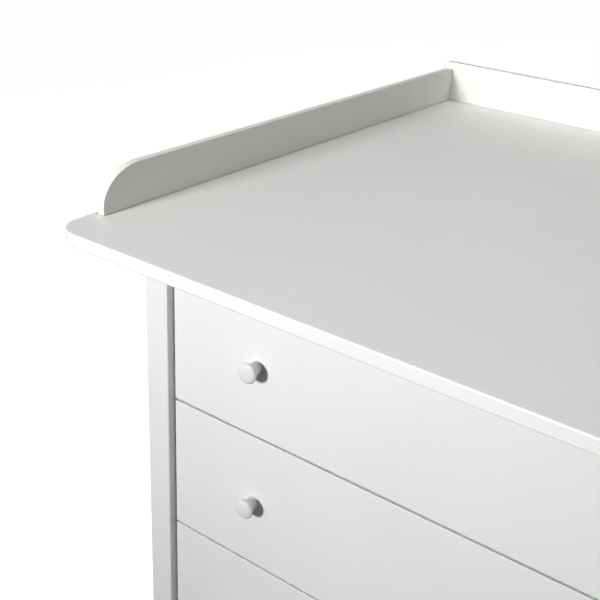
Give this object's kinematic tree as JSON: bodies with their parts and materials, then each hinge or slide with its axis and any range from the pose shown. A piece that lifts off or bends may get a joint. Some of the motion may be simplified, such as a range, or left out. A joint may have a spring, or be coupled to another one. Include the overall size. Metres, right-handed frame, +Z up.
{
  "type": "changing table",
  "caption": "White lacquered changing table: drawer chest on post legs with round knobs, carrying a larger board with low side rails and a taller rear rail.",
  "frame": {"origin": "on the floor, in the middle of the changing board seen from above", "axes": "+Z up, +X along the width, -Y towards the front, where the drawers open"},
  "size_m": [1.18, 0.852, 0.944],
  "materials": {
    "lacquer_white": "satin white lacquer on MDF and solid wood",
    "lacquer_inner": "thin matt white lacquer on hidden panels",
    "birch_ply": "clear-lacquered birch plywood",
    "birch": "bare sanded birch",
    "zinc_steel": "zinc plated",
    "plastic_white": "moulded"
  },
  "bodies": {
    "chest": {"leg_front_left": "lacquer_white", "leg_front_right": "lacquer_white", "leg_rear_left": "lacquer_white", "leg_rear_right": "lacquer_white", "foot_glides": "plastic_white", "side_panel_left": "lacquer_white", "side_panel_right": "lacquer_white", "back_panel": "lacquer_inner", "bottom_panel": "lacquer_inner", "chest_top": "lacquer_white", "top_rail_front": "lacquer_inner", "divider_rail_upper": "lacquer_inner", "divider_rail_lower": "lacquer_inner", "bottom_rail_front": "lacquer_inner", "apron_front": "lacquer_white", "top_rail_rear": "lacquer_inner", "bottom_rail_rear": "lacquer_inner", "runners_left": "birch", "runners_right": "birch", "carcass_dowels": "birch", "runner_screws": "zinc_steel", "panel_screws": "zinc_steel", "changing_board": "lacquer_white", "side_rail_left": "lacquer_white", "side_rail_right": "lacquer_white", "rear_rail": "lacquer_white", "locating_battens": "lacquer_inner", "board_screws": "zinc_steel", "board_brackets": "zinc_steel", "wall_brackets": "zinc_steel", "bracket_screws": "zinc_steel"},
    "drawer_upper": {"drawer_1_front": "lacquer_white", "drawer_1_side_left": "birch_ply", "drawer_1_side_right": "birch_ply", "drawer_1_back": "birch_ply", "drawer_1_bottom": "lacquer_inner", "drawer_1_knobs": "lacquer_white", "drawer_1_knob_screws": "zinc_steel", "drawer_1_dowels": "birch", "drawer_1_stops": "birch"},
    "drawer_middle": {"drawer_2_front": "lacquer_white", "drawer_2_side_left": "birch_ply", "drawer_2_side_right": "birch_ply", "drawer_2_back": "birch_ply", "drawer_2_bottom": "lacquer_inner", "drawer_2_knobs": "lacquer_white", "drawer_2_knob_screws": "zinc_steel", "drawer_2_dowels": "birch", "drawer_2_stops": "birch"},
    "drawer_lower": {"drawer_3_front": "lacquer_white", "drawer_3_side_left": "birch_ply", "drawer_3_side_right": "birch_ply", "drawer_3_back": "birch_ply", "drawer_3_bottom": "lacquer_inner", "drawer_3_knobs": "lacquer_white", "drawer_3_knob_screws": "zinc_steel", "drawer_3_dowels": "birch", "drawer_3_stops": "birch"}
  },
  "joints": [
    {"name": "drawer_upper_slide", "type": "slide", "parent": "chest", "child": "drawer_upper", "axis": [0, -1, 0], "range_m": [0, 0.385]},
    {"name": "drawer_middle_slide", "type": "slide", "parent": "chest", "child": "drawer_middle", "axis": [0, -1, 0], "range_m": [0, 0.385]},
    {"name": "drawer_lower_slide", "type": "slide", "parent": "chest", "child": "drawer_lower", "axis": [0, -1, 0], "range_m": [0, 0.385]}
  ]
}
